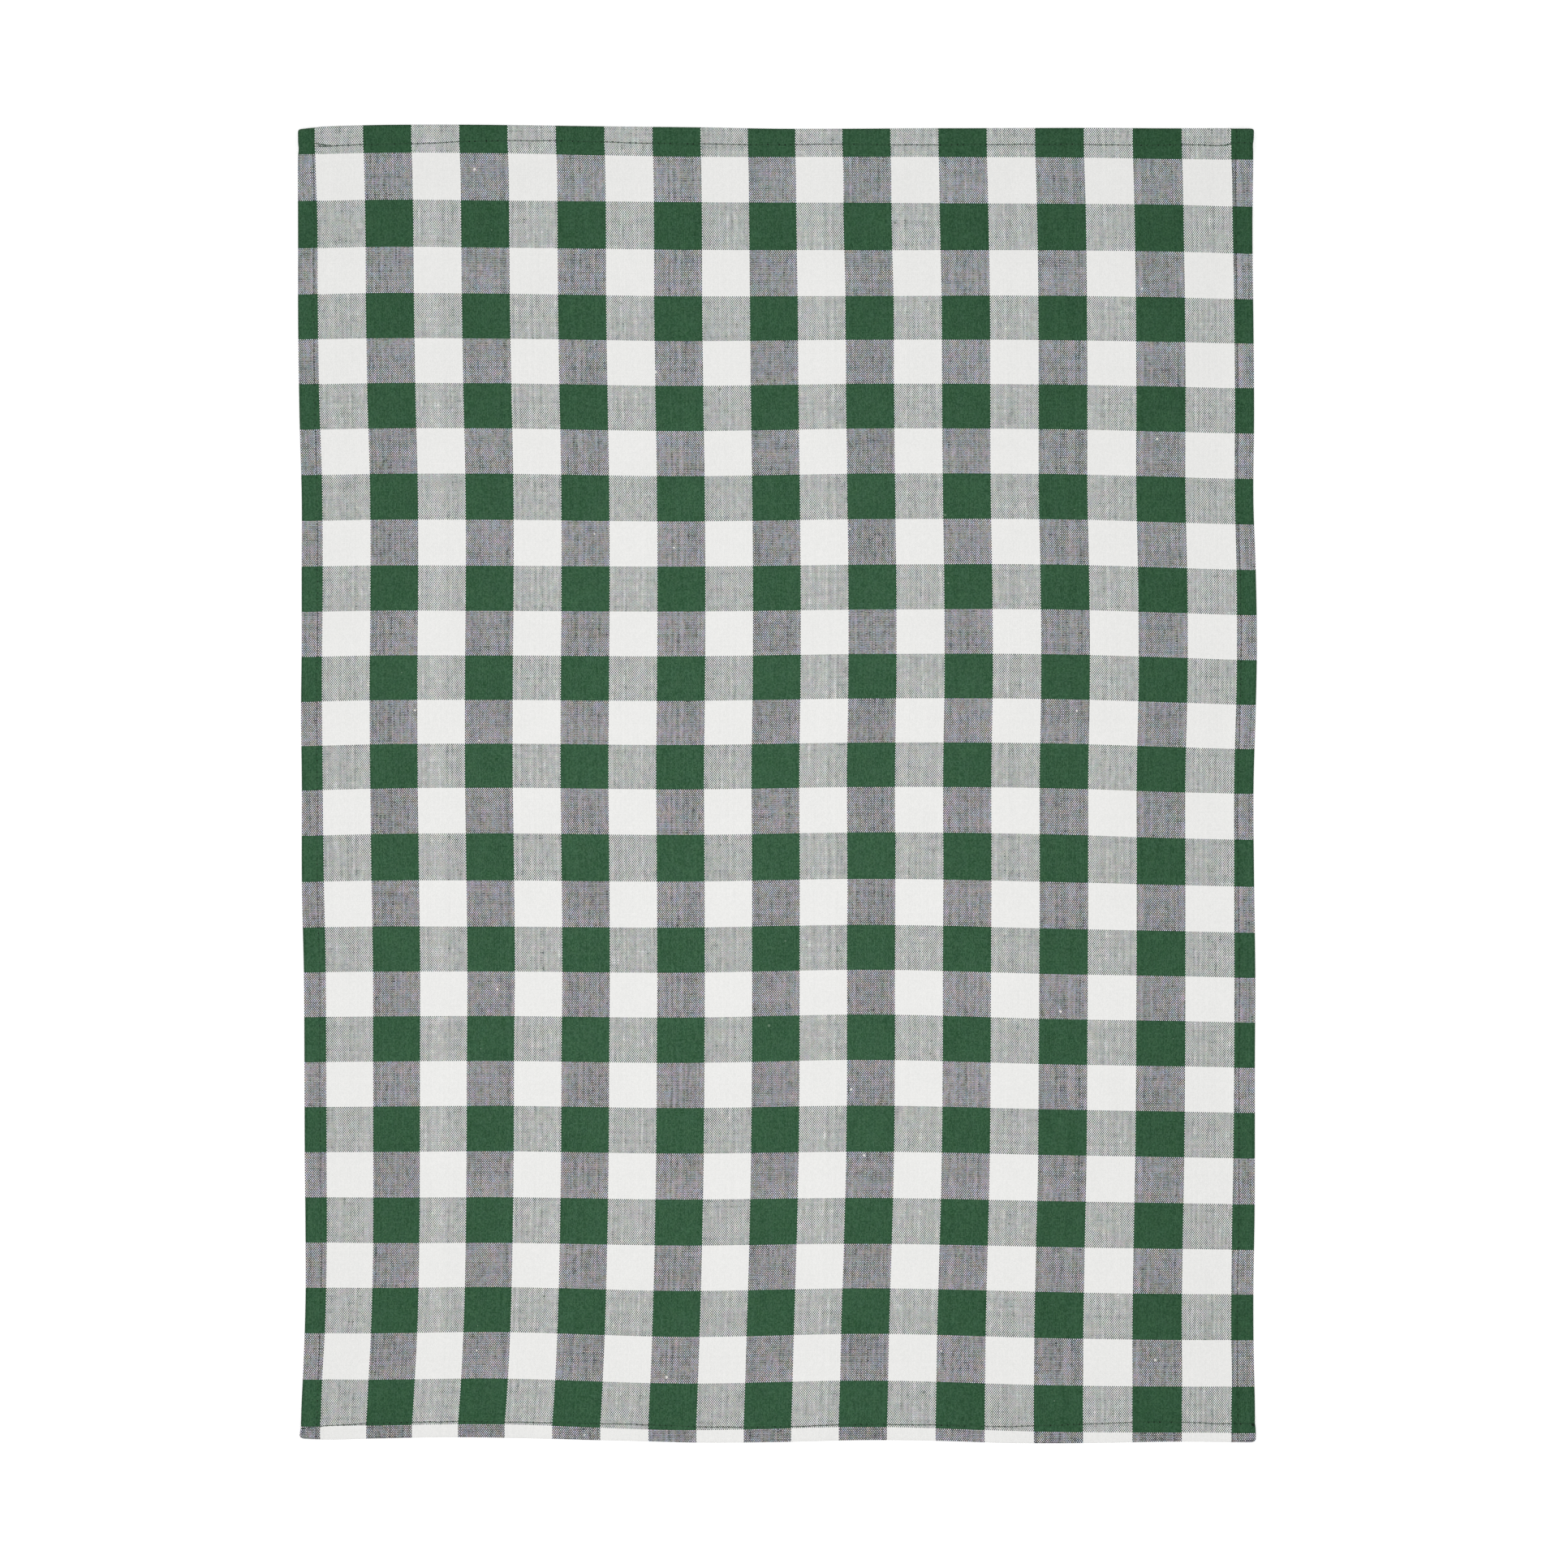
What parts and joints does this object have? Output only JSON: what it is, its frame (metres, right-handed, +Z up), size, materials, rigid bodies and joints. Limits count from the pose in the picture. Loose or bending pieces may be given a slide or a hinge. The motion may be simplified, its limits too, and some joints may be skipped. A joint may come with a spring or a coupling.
{
  "type": "tea towel",
  "caption": "Flat rectangular tea towel of plain-woven cotton in a green and white check, hemmed all round and lying face up.",
  "frame": {"origin": "on the surface that the towel lies on, under the middle of its outline", "axes": "+Y along the towel's length, towards its top edge; +X across it, to the right; +Z up, out of its face"},
  "size_m": [0.5032, 0.6918, 0.0026],
  "materials": {
    "cloth": "matt plain-woven cotton in a dark green and white gingham check, sewn with dark green thread"
  },
  "bodies": {
    "root": {"towel": "cloth"}
  },
  "joints": []
}
